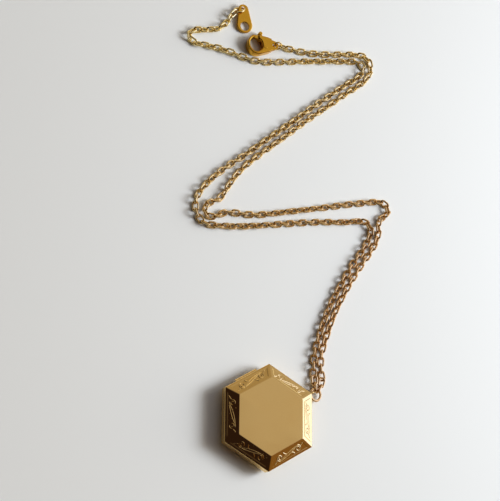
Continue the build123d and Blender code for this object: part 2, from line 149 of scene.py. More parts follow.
clasp_side_line = points_on_nurbs(CLASP_SIDE_ROUTE)
tag_side_line = points_on_nurbs(TAG_SIDE_ROUTE)
print("clasp side", round(length_of(clasp_side_line) / MM, 1), "mm, tag side",
      round(length_of(tag_side_line) / MM, 1), "mm")

# %% [markdown]
# A cable chain is made of equal oval links of round wire, each turned a quarter turn from the one
# before. A link is a closed path of two bows joined by two straights, with a ring of vertices round
# every point of the path. A curve with a bevel would give the same shape, but plain vertices can be
# made once here and then copied to every place in the chain without an object for each link. Links
# of this size are 2.1 mm apart when the chain is pulled tight. At 2.06 mm it lies a little slack.

# %% One link
LINK_WIRE = 0.6
LINK_LENGTH = 3.3
LINK_WIDTH = 2.2
LINK_PITCH = 2.06
LINK_BOW = (LINK_WIDTH - LINK_WIRE) / 2
BOW_STEPS = 10
WIRE_STEPS = 12


def link_shape():
    """Vertices and quads of one oval link in millimetres, long way on X, lying flat."""
    reach = (LINK_LENGTH - LINK_WIDTH) / 2
    path = []
    for side in (1, -1):
        for step in range(BOW_STEPS + 1):
            turn = math.pi * step / BOW_STEPS - math.pi / 2
            outward = Vector((side * math.cos(turn), side * math.sin(turn), 0))
            path.append((Vector((side * reach, 0, 0)) + outward * LINK_BOW, outward))
    vertices = []
    for centre, outward in path:
        for step in range(WIRE_STEPS):
            turn = math.tau * step / WIRE_STEPS
            ring = outward * math.cos(turn) + Vector((0, 0, math.sin(turn)))
            vertices.append(centre + ring * (LINK_WIRE / 2))
    quads = []
    for i in range(len(path)):
        here, ahead = i * WIRE_STEPS, (i + 1) % len(path) * WIRE_STEPS
        for k in range(WIRE_STEPS):
            m = (k + 1) % WIRE_STEPS
            quads.append([here + k, ahead + k, ahead + m, here + m])
    return np.array(vertices), np.array(quads)


link_vertices, link_quads = link_shape()
print("one link:", len(link_vertices), "vertices")

# %% [markdown]
# The links touch at points spread evenly along the row's line. The line begins and ends inside the
# bows of the CAD's own end links, so that the made links hook into them. The bow is found from the
# solid: its furthest point towards the row, less one thickness of wire.

# %% Contact points
# Out of each CAD end link, the way in which its row hooks on.
TOWARDS_ROW = {"bail_links_clasp_side": (-0.69, 0.72, 0), "clasp_end_link": (0.61, 0.8, 0),
               "bail_links_tag_side": (-0.87, 0.48, 0), "tag_end_link": (0.34, -0.94, 0)}


def even_points(points, count):
    """The line cut into count equal lengths."""
    xyz = np.array(points)
    steps = np.linalg.norm(np.diff(xyz, axis=0), axis=1)
    along = np.concatenate([[0], np.cumsum(steps)])
    wanted = np.linspace(0, along[-1], count + 1)
    return np.stack([np.interp(wanted, along, xyz[:, axis]) for axis in range(3)], axis=1)


def inside_of_bow(node):
    """Inside the CAD link's bow: one wire short of the solid's furthest point towards the row."""
    direction = Vector(TOWARDS_ROW[node]).normalized()
    tips = [v.co for v in nodes[node].data.vertices]
    tip = max(tips, key=lambda co: co.dot(direction))
    return tip.copy() - direction * LINK_WIRE * MM


for node in TOWARDS_ROW:
    print(node, "is hooked at", [round(x / MM, 2) for x in inside_of_bow(node)], "mm")

# %% [markdown]
# On a table such a chain settles with its links leaning about 45 degrees, one to the left and the
# next to the right, and it twists slowly along its length. So each link is the one shape, laid
# between its two contact points, leant and twisted, scattered a little, and lifted until its lower
# side just clears the table. A whole row is one mesh, because it stands for one limp cord.

# %% Rows of links
LEAN = 45.0
LEAN_SCATTER = 7.0
TWIST_DEGREES = 22.0
TWIST_LENGTH = 37.0
TABLE_GAP = 0.02
CLASP_SIDE_SEED, TAG_SIDE_SEED = 3, 8


def mesh_object(name, vertices, faces, smooth=True):
    mesh = bpy.data.meshes.new(name)
    mesh.from_pydata([tuple(v) for v in vertices], [], [tuple(int(i) for i in f) for f in faces])
    mesh.update()
    mesh.polygons.foreach_set("use_smooth", [smooth] * len(mesh.polygons))
    made = bpy.data.objects.new(name, mesh)
    bpy.context.scene.collection.objects.link(made)
    return made


def lean_of(i, phase, scatter):
    """How far link i leans from lying flat, in radians."""
    lean = LEAN if i % 2 else -LEAN
    lean += TWIST_DEGREES * math.sin(math.tau * (i * LINK_PITCH) / TWIST_LENGTH + phase)
    return math.radians(lean + scatter.uniform(-LEAN_SCATTER, LEAN_SCATTER))


def row_of_links(name, line, first, last, seed):
    """Interlinked ovals from the contact point first, along the line, to the contact point last."""
    scatter = random.Random(seed)
    whole = [first] + line + [last]
    count = round(length_of(whole) / (LINK_PITCH * MM))
    contacts = even_points(whole, count)
    phase = scatter.uniform(0, math.tau)
    vertices = []
    quads = []
    for i in range(count):
        start, end = Vector(contacts[i]), Vector(contacts[i + 1])
        lean = lean_of(i, phase, scatter)
        along = (end - start).normalized()
        level = Vector((-along.y, along.x, 0)).normalized()
        up = along.cross(level)
        side = level * math.cos(lean) + up * math.sin(lean)
        normal = along.cross(side)
        rest = (LINK_BOW * abs(math.sin(lean)) + LINK_WIRE / 2 + TABLE_GAP) * MM
        centre = (start + end) / 2
        centre.z = max(rest, centre.z - CHAIN_HEIGHT * MM + rest)
        axes = np.array([along, side, normal])
        quads.append(link_quads + len(vertices) * len(link_vertices))
        vertices.append(link_vertices * MM @ axes + np.array(centre))
    print(name, count, "links, pitch", round(length_of(whole) / MM / count, 3), "mm")
    return mesh_object(name, np.concatenate(vertices), np.concatenate(quads))


clasp_side_links = row_of_links(
    "clasp_side_links", clasp_side_line, first=inside_of_bow("bail_links_clasp_side"),
    last=inside_of_bow("clasp_end_link"), seed=CLASP_SIDE_SEED)
tag_side_links = row_of_links(
    "tag_side_links", tag_side_line, first=inside_of_bow("bail_links_tag_side"),
    last=inside_of_bow("tag_end_link"), seed=TAG_SIDE_SEED)

# %% [markdown]
# In use each row is a limp cord. Here it rides on the locket's back, takes the place of the CAD
# tube, which is hidden, and is as long as the line it is threaded on.


def declare_row(row, node):
    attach(row, "back")
    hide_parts(node)
    print(row.name, "takes the place of", node)


declare_row(clasp_side_links, "clasp_side_chain")
declare_row(tag_side_links, "tag_side_chain")

# %% [markdown]
# Each half of the case is one thin shell: a flat mirror face, six bevels and a short upright rim.
# Every level section through it is a hexagon with rounded corners, so the half can be lofted: one
# loop of points for each step of its section, and quads from each loop to the next. The loops all
# have the same number of points, whatever their size, which is what lets the quads join them one to
# one.

# %% Rounded hexagon loops
SIDES = 6
SIDE_DEGREES = 60
MITRE_DEGREES = 30
CORNER_STEPS = 5


def hex_loop(apothem, z, corner, side_points):
    """Points round a hexagon with rounded corners; the count doesn't depend on its size."""
    points = []
    for side in range(SIDES):
        heading = math.radians(SIDE_DEGREES * side)
        outward = Vector((math.cos(heading), math.sin(heading), 0))
        tangent = Vector((-outward.y, outward.x, 0))
        half = (apothem - corner) * math.tan(math.radians(MITRE_DEGREES))
        for i in range(side_points):
            place = -1 + 2 * i / (side_points - 1)
            points.append(outward * apothem + tangent * half * place)
        corner_heading = heading + math.radians(MITRE_DEGREES)
        hub = Vector((math.cos(corner_heading), math.sin(corner_heading), 0))
        hub *= (apothem - corner) / math.cos(math.radians(MITRE_DEGREES))
        for i in range(1, CORNER_STEPS + 1):
            turn = heading + math.radians(SIDE_DEGREES) * i / (CORNER_STEPS + 1)
            points.append(hub + Vector((math.cos(turn), math.sin(turn), 0)) * corner)
    return [Vector((p.x, p.y, z)) for p in points]


def loft(name, loops):
    """Skins the loops in order and closes the first and the last."""
    count = len(loops[0])
    faces = []
    for i in range(len(loops) - 1):
        low, high = i * count, (i + 1) * count
        for k in range(count):
            m = (k + 1) % count
            faces.append([low + k, low + m, high + m, high + k])
    faces.append(list(reversed(range(count))))
    faces.append([(len(loops) - 1) * count + k for k in range(count)])
    vertices = [p * MM for loop in loops for p in loop]
    return mesh_object(name, vertices, faces)


print("a loop with 12 points a side has", len(hex_loop(10, 0, 0.5, 12)), "points")

# %% [markdown]
# On the front half every bevel carries the same S-scroll, with two curls, small leaves and a bead
# in the eye of each curl. It is drawn flat first, as lines with a half width at every step. Only
# one half is drawn: the other is the same half turned about the middle of the panel, which is what
# makes it an S.

# %% Lines of the scroll
LINE_HALF_WIDTH = 0.2
LINE_END_SHARE, LINE_SWELL = 0.6, 0.5
EYE_BEAD_RADIUS = 0.3
CURL_OFFSET = 3.3
CURL_RADIUS = 0.88
CURL_END_RADIUS = 0.3
CURL_TURNS = 1.35
CURL_TIGHTENING = 1.7
CURL_STEPS = 60
SWEEP_STEPS = 40
STEM_MIDDLE = (-0.08, 0.3)
LEAF = ((0.9, -0.15), (1.55, -0.62), (1.75, -1.1))
BRACT = ((4.35, 0.35), (4.85, 0.75), (5.3, 0.95))


def curl(centre, start_angle):
    """A round curl that winds clockwise from its outside to its eye, as (x, y, half width) rows."""
    rows = []
    for i in range(CURL_STEPS + 1):
        share = i / CURL_STEPS
        radius = CURL_RADIUS - (CURL_RADIUS - CURL_END_RADIUS) * share ** CURL_TIGHTENING
        turn = start_angle - math.tau * CURL_TURNS * share
        x, y = centre[0] + radius * math.cos(turn), centre[1] + radius * math.sin(turn)
        rows.append((x, y, LINE_HALF_WIDTH))
    rows.append((x, y, EYE_BEAD_RADIUS))
    return rows


def sweep(start, middle, end):
    """A line bowed through the middle point, fuller there and finer at its ends."""
    rows = []
    for i in range(SWEEP_STEPS + 1):
        t = i / SWEEP_STEPS
        a, b, c = (1 - t) * (1 - 2 * t), 4 * t * (1 - t), t * (2 * t - 1)
        x = a * start[0] + b * middle[0] + c * end[0]
        y = a * start[1] + b * middle[1] + c * end[1]
        rows.append((x, y, LINE_HALF_WIDTH * (LINE_END_SHARE + LINE_SWELL * math.sin(math.pi * t))))
    return rows


def half_turned(rows):
    return [(-x, -y, width) for x, y, width in rows]


def panel_lines():
    """The raised lines of one panel; x runs along the bevel, y down the slope from its middle."""
    lean = math.asin(CURL_RADIUS / CURL_OFFSET)
    reach = math.sqrt(CURL_OFFSET ** 2 - CURL_RADIUS ** 2)
    join = (reach * math.cos(lean), reach * math.sin(lean))
    other = (-join[0], -join[1])
    wind = curl((CURL_OFFSET, 0), math.radians(90) + lean)
    one_half = [wind, sweep(other, STEM_MIDDLE, join), sweep(*LEAF), sweep(*BRACT)]
    return one_half + [half_turned(rows) for rows in one_half]


raised_lines = panel_lines()
print("raised lines in a panel:", len(raised_lines))

# %% [markdown]
# The scroll lies in a sunk panel inside a plain polished border. Cast or struck ornament has soft
# edges, so the panel's wall is a smooth ramp, and each step of a line is a round mound that is
# highest in its middle and falls away smoothly over the line's half width. A function gives the
# depth at any place on the bevel.

# %% Depth of the carving
FACE_FLATS = 18.9
CASE_FLATS = 26.0
FRONT_BEVEL = 1.8
BEVEL_RUN = (CASE_FLATS - FACE_FLATS) / 2
BEVEL_SLANT = math.hypot(BEVEL_RUN, FRONT_BEVEL)
PANEL_BORDER = 0.45
PANEL_WALL = 0.5
CARVING_DEPTH = 0.075
SLANTED_MITRE_DEGREES = 27  # the mitre of 30 degrees, measured on the slanted bevel


def relief(x, y):
    """How far the carving stands up from the sunk ground, 0 to 1, at arrays of panel points."""
    height = np.zeros_like(x)
    for rows in raised_lines:
        for centre_x, centre_y, width in rows:
            away = np.minimum(np.hypot(x - centre_x, y - centre_y) / width, 1)
            height = np.maximum(height, 0.5 + 0.5 * np.cos(math.pi * away))
    return height


def carving(along, slope):
    """Depth in millimetres below the plain bevel. Slope is 0 at the face and 1 at the girdle."""
    half_length = (FACE_FLATS / 2 + BEVEL_RUN * slope) * math.tan(math.radians(MITRE_DEGREES))
    down = slope * BEVEL_SLANT
    x = along * half_length
    from_mitre = (half_length - np.abs(x)) * math.cos(math.radians(SLANTED_MITRE_DEGREES))
    from_edge = np.minimum(np.minimum(down, BEVEL_SLANT - down), from_mitre)
    sunk = np.clip((from_edge - PANEL_BORDER) / PANEL_WALL, 0, 1)
    sunk = sunk * sunk * (3 - 2 * sunk)
    return CARVING_DEPTH * sunk * (1 - relief(x, down - BEVEL_SLANT / 2))


print("deepest across the middle of a bevel:", carving(np.linspace(-1, 1, 99), 0.5).max(), "mm")

# %% [markdown]
# Cut down the middle of a side, a half shows its section: along the face, down the bevel, up the
# rim, and back inside at the thickness of the sheet. The edges of the section are rounded, since
# even a sharp edge on polished metal has a fine round that shines.

# %% Section of a half
EDGE_ROUND = 0.1
EDGE_FULLNESS = 0.3
SEAM_CLEARANCE = 0.02
FRONT_RIM, FRONT_SHEET = 1.4 - SEAM_CLEARANCE, 0.65
BACK_BEVEL, BACK_RIM, BACK_SHEET = 1.6, 1.3 - SEAM_CLEARANCE, 0.73


def rounded_edge(before, edge, after):
    """Three profile points that take the sharpness off an edge of the profile."""
    ahead = (after - edge).normalized() * EDGE_ROUND
    behind = (before - edge).normalized() * EDGE_ROUND
    return [edge + behind, edge + (ahead + behind) * EDGE_FULLNESS, edge + ahead]


def corners_of(bevel, rim, sheet):
    """Corners of the half's section as points (across flats / 2, height above its face)."""
    face = Vector((FACE_FLATS / 2, 0))
    girdle = Vector((CASE_FLATS / 2, bevel))
    lip = Vector((CASE_FLATS / 2, bevel + rim))
    inner_lip = lip - Vector((sheet, 0))
    slope = bevel / BEVEL_RUN
    rise = sheet * math.hypot(1, slope)
    inner_girdle = Vector((inner_lip.x, rise + (inner_lip.x - face.x) * slope))
    inner_face = Vector((face.x - (rise - sheet) / slope, sheet))
    return face, girdle, lip, inner_lip, inner_girdle, inner_face


print("corners of the front's section:",
      [tuple(round(x, 2) for x in p) for p in corners_of(FRONT_BEVEL, FRONT_RIM, FRONT_SHEET)])

# %% [markdown]
# The loops on the front's bevels lie close together, and their points sink by the depth of the
# carving. That makes the scrolls real relief, which catches the light from every side. A bump in
# the material would be lighter, but it would be missing from the mesh. The back is plain and needs
# few loops. Both halves are made face down, and the front is then turned over and lifted.

# %% The two halves of the case
SIDE_POINTS, PLAIN_SIDE_POINTS = 170, 12
BEVEL_LOOPS, PLAIN_BEVEL_LOOPS = 52, 3
CASE_CORNER = 0.5
INSIDE_CORNER_SHARE = 0.4
CASE_TOP = 6.1


def carve(loops, slopes, side_points):
    """Sinks the bevel's points by the depth of the panel, square to the bevel."""
    along = np.linspace(-1, 1, side_points)
    tilt = math.atan2(FRONT_BEVEL, BEVEL_RUN)
    for loop, slope in zip(loops, slopes):
        depth = carving(along, slope)
        for side in range(SIDES):
            heading = math.radians(SIDE_DEGREES * side)
            inward = Vector((-math.sin(tilt) * math.cos(heading),
                             -math.sin(tilt) * math.sin(heading), math.cos(tilt)))
            first = side * (side_points + CORNER_STEPS)
            for i in range(side_points):
                loop[first + i] += inward * depth[i]


def half_case(name, bevel, rim, sheet, side_points, bevel_loops, is_front):
    """A half that lies face down on z=0. The front's bevels are carved, and it is turned over."""
    face, girdle, lip, inner_lip, inner_girdle, inner_face = corners_of(bevel, rim, sheet)
    face_edge = rounded_edge(Vector((0, 0)), face, girdle)
    girdle_edge = rounded_edge(face, girdle, lip)
    before_bevel = face_edge[:2]
    on_bevel = [face_edge[2].lerp(girdle_edge[0], i / bevel_loops) for i in range(bevel_loops + 1)]
    outside = before_bevel + on_bevel + girdle_edge[1:] + rounded_edge(girdle, lip, inner_lip)
    inside = rounded_edge(lip, inner_lip, inner_girdle) + [inner_girdle, inner_face]
    loops = [hex_loop(p.x, p.y, CASE_CORNER, side_points) for p in outside]
    loops += [hex_loop(p.x, p.y, CASE_CORNER * INSIDE_CORNER_SHARE, side_points) for p in inside]
    if is_front:
        first = len(before_bevel)
        carve(loops[first:first + len(on_bevel)], [p.y / bevel for p in on_bevel], side_points)
    half = loft(name, loops)
    if is_front:
        lifted = Matrix.Translation((0, 0, CASE_TOP * MM))
        half.data.transform(lifted @ Matrix.Rotation(math.pi, 4, "X"))
    return half


front_half = half_case("front_cover_cast", FRONT_BEVEL, FRONT_RIM, FRONT_SHEET, SIDE_POINTS,
                       BEVEL_LOOPS, is_front=True)
back_half = half_case("back_cover_cast", BACK_BEVEL, BACK_RIM, BACK_SHEET, PLAIN_SIDE_POINTS,
                      PLAIN_BEVEL_LOOPS, is_front=False)
print("front half", len(front_half.data.vertices), "vertices, back half",
      len(back_half.data.vertices))

# %% [markdown]
# The hinge sits in the left rim: five short knuckles on one pin, three on the back and two on the
# front. The knuckles and the pin themselves are the CAD's. The nail nick opposite is a shallow
# scoop that both halves share, to part them with a fingernail. What a mill would take away is made
# here as plain solids: rods along the hinge line, and a ball for the nick.

# %% Cutters for the hinge and the nail nick
SEAM_HEIGHT = 2.9
HINGE_X = -13.05
KNUCKLES = 5
FRONT_KNUCKLES, BACK_KNUCKLES = (1, 3), (0, 2, 4)
KNUCKLE_RADIUS = 0.5
KNUCKLE_LENGTH = 1.35
KNUCKLE_GAP = 0.08
KNUCKLE_ROOM = 0.1
KNUCKLE_PITCH = KNUCKLE_LENGTH + KNUCKLE_GAP
HINGE_LENGTH = KNUCKLES * KNUCKLE_PITCH - KNUCKLE_GAP
PIN_HEAD_RADIUS = 0.38
PIN_HEAD_SPACE = 0.3
PIN_HEAD_OVERLAP = 0.01
NICK_RADIUS = 3.0
NICK_DEPTH = 0.3
ROD_SEGMENTS = 32
BALL_SUBDIVISIONS = 5


def cutter(form):
    """The object that a form becomes, to be cut out of a half."""
    mesh = bpy.data.meshes.new("cutter")
    form.to_mesh(mesh)
    form.free()
    made = bpy.data.objects.new("cutter", mesh)
    bpy.context.scene.collection.objects.link(made)
    return made


def cutter_rod(radius, low, high):
    form = bmesh.new()
    turn = Matrix.Rotation(math.pi / 2, 4, "X")
    place = Matrix.Translation((HINGE_X * MM, (low + high) / 2 * MM, SEAM_HEIGHT * MM))
    bmesh.ops.create_cone(form, cap_ends=True, segments=ROD_SEGMENTS, radius1=radius * MM,
                          radius2=radius * MM, depth=(high - low) * MM, matrix=place @ turn)
    return cutter(form)


def cutter_ball():
    form = bmesh.new()
    middle = CASE_FLATS / 2 + NICK_RADIUS - NICK_DEPTH
    place = Matrix.Translation((middle * MM, 0, SEAM_HEIGHT * MM))
    bmesh.ops.create_icosphere(form, subdivisions=BALL_SUBDIVISIONS, radius=NICK_RADIUS * MM,
                               matrix=place)
    return cutter(form)


def hinge_cutters(own):
    """Rods along the hinge line: close round the half's own knuckles, roomy round the others."""
    first, end = -HINGE_LENGTH / 2, HINGE_LENGTH / 2
    rods = []
    for index in range(KNUCKLES):
        low = first + index * KNUCKLE_PITCH
        room, gap = (0, 0) if index in own else (KNUCKLE_ROOM, KNUCKLE_GAP)
        rods.append(cutter_rod(KNUCKLE_RADIUS + room, low - gap, low + KNUCKLE_LENGTH + gap))
    head = PIN_HEAD_RADIUS + KNUCKLE_ROOM
    rods.append(cutter_rod(head, first - PIN_HEAD_SPACE, first + PIN_HEAD_OVERLAP))
    rods.append(cutter_rod(head, end - PIN_HEAD_OVERLAP, end + PIN_HEAD_SPACE))
    return rods


print("hinge:", round(HINGE_LENGTH, 2), "mm from end to end")

# %% [markdown]
# Each half is cut away where the other half's knuckles turn, and only as far as the barrel round
# its own. The cuts are exact Booleans, because a milled edge has to be clean and crisp. Edges that
# turn by more than 28 degrees are then marked sharp, so that the smooth shading stops at them.

# %% Milling the two halves
SHARP_DEGREES = 28


def mill(half, cutters):
    for cutter_object in cutters:
        cut = half.modifiers.new("cut", "BOOLEAN")
        cut.operation = "DIFFERENCE"
        cut.solver = "EXACT"
        cut.object = cutter_object
    bpy.context.view_layer.update()
    evaluated = half.evaluated_get(bpy.context.evaluated_depsgraph_get())
    cut_mesh = bpy.data.meshes.new_from_object(evaluated)
    half.modifiers.clear()
    half.data = cut_mesh
    cut_mesh.name = half.name
    for cutter_object in cutters:
        bpy.data.objects.remove(cutter_object)
    half.data.set_sharp_from_angle(angle=math.radians(SHARP_DEGREES))


mill(front_half, hinge_cutters(FRONT_KNUCKLES) + [cutter_ball()])
mill(back_half, hinge_cutters(BACK_KNUCKLES) + [cutter_ball()])
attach(front_half, "front")
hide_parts("front_cover")
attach(back_half, "back")
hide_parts("back_cover")
print("milled:", len(front_half.data.vertices), len(back_half.data.vertices))

# %% [markdown]
# Colours are written as sRGB hex values, the way a paint card gives them, and turned to linear
# light by one function. One small helper adds a shader node with its settings and links, and every
# finish below is built with it.

# %% Colour and node helpers


def colour(hex_text):
    channels = [int(hex_text[i:i + 2], 16) / 255 for i in (1, 3, 5)]
    linear = [c / 12.92 if c <= 0.04045 else ((c + 0.055) / 1.055) ** 2.4 for c in channels]
    return (*linear, 1)


def add(tree, kind, settings=None, **links):
    """Adds a node. Settings are its properties. Links give each input a value or another node's
    output: the input is named with _ for a space, or numbered, as i0 for the first."""
    node = tree.nodes.new(kind)
    for key, value in (settings or {}).items():
        setattr(node, key, value)
    for key, value in links.items():
        numbered = key[0] == "i" and key[1:].isdigit()
        socket = node.inputs[int(key[1:]) if numbered else key.replace("_", " ")]
        if isinstance(value, bpy.types.NodeSocket):
            tree.links.new(value, socket)
        else:
            socket.default_value = value
    return node


def new_material(name):
    material = bpy.data.materials.new(name)
    material.use_nodes = True
    material.node_tree.nodes.clear()
    return material, material.node_tree


print("half-bright grey #808080 is", round(colour("#808080")[0], 3), "in linear light")

# %% [markdown]
# Jewellery of this kind is often brass, plated with gold. Gold has almost no colour of its own when
# it is polished: it shows the room in yellow. What the eye reads as metal is the soft change of the
# reflections. So every gold here is one smooth metal with very fine buffing lines, faint handling
# scratches and a slightly deeper tone where the plating is thick, and the four golds differ in tone
# and roughness. The buffing lines are drawn coarser than the real grit, which is too fine to show.
# The chain's wire keeps a redder tone and a duller gloss next to the locket. Along -X, towards the
# clasp and the tag, it is painted paler, as painted light that brightens that end, and grows
# smoother.

# %% Gold finishes
PER_METRE = 1 / MM
CLOUDS_PER_MM, CLOUD_DETAIL = 0.12, 3.0
BUFFING_LINES_PER_MM, BUFFING_DETAIL = 9, 2.0
BUFFING_TURN = (0, 0, 0.5)
BUFFING_STRETCH = (1, 0.06, 1)
SCRATCHES_PER_MM, SCRATCH_WIDTH = 1.6, 0.03
BUMP_STRENGTH = 0.12
ROUGHNESS_SPREAD = 0.25
# Along X the chain's colour ramps from its own tone to a paler painted light, and its roughness
# falls.
PAINTED_LIGHT_START, PAINTED_LIGHT_END = -30 * MM, -104 * MM
PAINTED_LIGHT_END_ROUGHNESS = 0.6


def gold(name, tone, deep_tone, roughness, bump_height, painted_light_tone=None):
    """A polished gold. With a painted light tone, it is painted paler towards one end and grows
    smoother there.
    """
    material, tree = new_material(name)
    place = add(tree, "ShaderNodeTexCoord").outputs["Object"]
    cloud = add(tree, "ShaderNodeTexNoise", Vector=place, Scale=CLOUDS_PER_MM * PER_METRE,
                Detail=CLOUD_DETAIL)
    finish = add(tree, "ShaderNodeMix", {"data_type": "RGBA"}, Factor=cloud.outputs["Fac"],
                 i6=colour(tone), i7=colour(deep_tone)).outputs[2]
    # Painted light: the colour ramps to the paler tone along X, as if more light fell on that end.
    if painted_light_tone:
        across = add(tree, "ShaderNodeSeparateXYZ", Vector=place).outputs["X"]
        painted_light_and_polish_ramp = add(tree, "ShaderNodeMapRange", Value=across, From_Min=PAINTED_LIGHT_START, From_Max=PAINTED_LIGHT_END)
        finish = add(tree, "ShaderNodeMix", {"data_type": "RGBA"}, Factor=painted_light_and_polish_ramp.outputs[0],
                     i6=finish, i7=colour(painted_light_tone)).outputs[2]
    stretched = add(tree, "ShaderNodeMapping", Vector=place, Rotation=BUFFING_TURN,
                    Scale=BUFFING_STRETCH)
    buffing = add(tree, "ShaderNodeTexNoise", Vector=stretched.outputs[0],
                  Scale=BUFFING_LINES_PER_MM * PER_METRE, Detail=BUFFING_DETAIL)
    handling = add(tree, "ShaderNodeTexVoronoi", {"feature": "DISTANCE_TO_EDGE"}, Vector=place,
                   Scale=SCRATCHES_PER_MM * PER_METRE)
    scratch = add(tree, "ShaderNodeMapRange", Value=handling.outputs["Distance"],
                  From_Max=SCRATCH_WIDTH)
    heights = add(tree, "ShaderNodeMath", {"operation": "MULTIPLY"}, i0=buffing.outputs["Fac"],
                  i1=scratch.outputs[0])
    bump = add(tree, "ShaderNodeBump", Height=heights.outputs[0], Strength=BUMP_STRENGTH,
               Distance=bump_height * MM)
    gloss = add(tree, "ShaderNodeMapRange", Value=buffing.outputs["Fac"],
                To_Min=roughness * (1 - ROUGHNESS_SPREAD),
                To_Max=roughness * (1 + ROUGHNESS_SPREAD)).outputs[0]
    if painted_light_tone:
        polish = add(tree, "ShaderNodeMapRange", Value=painted_light_and_polish_ramp.outputs[0], To_Min=1.0,
                     To_Max=PAINTED_LIGHT_END_ROUGHNESS)
        gloss = add(tree, "ShaderNodeMath", {"operation": "MULTIPLY"}, i0=gloss,
                    i1=polish.outputs[0]).outputs[0]
    shader = add(tree, "ShaderNodeBsdfPrincipled", Base_Color=finish, Metallic=1.0,
                 Roughness=gloss, Normal=bump.outputs[0])
    add(tree, "ShaderNodeOutputMaterial", Surface=shader.outputs[0])
    return material


# The case is buffed to a mirror, so the eye sees the room in it, pale yellow or deep brown.
polished_case_gold = gold("polished_case_gold", tone="#EFCB82", deep_tone="#EAC277",
                          roughness=0.1, bump_height=0.004)
# Chain wire is drawn and tumbled, so each link has a soft glint on its bow and no clear reflection.
# Towards -X the wire is painted in a paler tone, as painted light, and is made smoother.
chain_wire_gold = gold("chain_wire_gold", tone="#EDC487", deep_tone="#D6A968",
                       roughness=0.28, bump_height=0.004, painted_light_tone="#FFE69C")
# The clasp and the tag are plated in a deeper yellow, and polished but not buffed to a mirror.
findings_gold = gold("findings_gold", tone="#E7B33E", deep_tone="#D99F2A",
                     roughness=0.2, bump_height=0.006)
# No buff reaches the inside of the case, so it stays satin and blurs whatever it mirrors.
satin_inside_gold = gold("satin_inside_gold", tone="#E6C27E", deep_tone="#DAB269",
                         roughness=0.34, bump_height=0.01)
print("golds:", [m.name for m in (polished_case_gold, chain_wire_gold, findings_gold,
                                  satin_inside_gold)])

# %% [markdown]
# The hinge pin and the clasp's spring are steel wire, drawn through a die. Drawing leaves fine
# lines along the wire and a grey, slightly broken gloss, which sets them off from the gold. The
# windows inside the case are cut from clear acetate sheet, a plastic with an index of refraction of
# about 1.48. It is smooth but never quite flat, so the eye finds it by a wavering highlight.

# %% Steel wire and acetate sheet
DRAWING_LINES_PER_MM = 12
DRAWING_STRETCH = (1, 0.05, 1)
STEEL_TONE, STEEL_ROUGHNESS = "#C9C4B8", (0.18, 0.34)
WAVES_PER_MM, WAVE_STRENGTH, WAVE_HEIGHT = 0.15, 0.2, 0.05
ACETATE_TONE, ACETATE_ROUGHNESS, ACETATE_IOR = "#F4F7F6", 0.04, 1.48


def drawn_steel():
    material, tree = new_material("drawn_steel_wire")
    place = add(tree, "ShaderNodeTexCoord").outputs["Object"]
    lines = add(tree, "ShaderNodeMapping", Vector=place, Scale=DRAWING_STRETCH)
    grain = add(tree, "ShaderNodeTexNoise", Vector=lines.outputs[0],
                Scale=DRAWING_LINES_PER_MM * PER_METRE)
    dull = add(tree, "ShaderNodeMapRange", Value=grain.outputs["Fac"], To_Min=STEEL_ROUGHNESS[0],
               To_Max=STEEL_ROUGHNESS[1])
    shader = add(tree, "ShaderNodeBsdfPrincipled", Base_Color=colour(STEEL_TONE), Metallic=1.0,
                 Roughness=dull.outputs[0])
    add(tree, "ShaderNodeOutputMaterial", Surface=shader.outputs[0])
    return material


def clear_sheet():
    material, tree = new_material("clear_acetate_sheet")
    place = add(tree, "ShaderNodeTexCoord").outputs["Object"]
    waves = add(tree, "ShaderNodeTexNoise", Vector=place, Scale=WAVES_PER_MM * PER_METRE)
    bump = add(tree, "ShaderNodeBump", Height=waves.outputs["Fac"], Strength=WAVE_STRENGTH,
               Distance=WAVE_HEIGHT * MM)
    shader = add(tree, "ShaderNodeBsdfPrincipled", Base_Color=colour(ACETATE_TONE),
                 Roughness=ACETATE_ROUGHNESS, IOR=ACETATE_IOR, Transmission_Weight=1.0,
                 Normal=bump.outputs[0])
    add(tree, "ShaderNodeOutputMaterial", Surface=shader.outputs[0])
    return material


drawn_steel_wire = drawn_steel()
clear_acetate_sheet = clear_sheet()
print("beside the golds:", drawn_steel_wire.name, clear_acetate_sheet.name)

# %% [markdown]
# The CAD names a finish slot for each of its pieces. Every piece gets the material of its slot, and
# the four pieces made here get the material of the piece that they stand for.

# %% Finishes on the pieces
finish_of_slot = {"case": polished_case_gold, "chain": chain_wire_gold, "findings": findings_gold,
                  "inside": satin_inside_gold, "pin": drawn_steel_wire, "spring": drawn_steel_wire,
                  "window": clear_acetate_sheet}
dressed = [(nodes[part["node"]], part["material_slot"]) for part in frame["record"]["subparts"]]
dressed += [(front_half, "case"), (back_half, "case"), (clasp_side_links, "chain"),
            (tag_side_links, "chain")]
for piece, slot_name in dressed:
    piece.data.materials.clear()
    piece.data.materials.append(finish_of_slot[slot_name])
print("finished:", len(dressed), "pieces in", len(finish_of_slot), "slots")

# %% [markdown]
# The table is a matt painted board, almost white and a little cool. It takes the soft shadows, and
# the gold mirrors its light from below. It is one plane, wide enough for low views, and it is
# stage, not part of the jewel.

# %% Table
TABLE_HALF_SIZE = 2.0
TABLE_DROP = 0.02
BOARD_TONE, BOARD_LIGHT_TONE = "#E3E8EB", "#E6EAEC"
BOARD_CLOUDS_PER_METRE, BOARD_CLOUD_DETAIL = 6.0, 2.0
BOARD_ROUGHNESS = 0.75


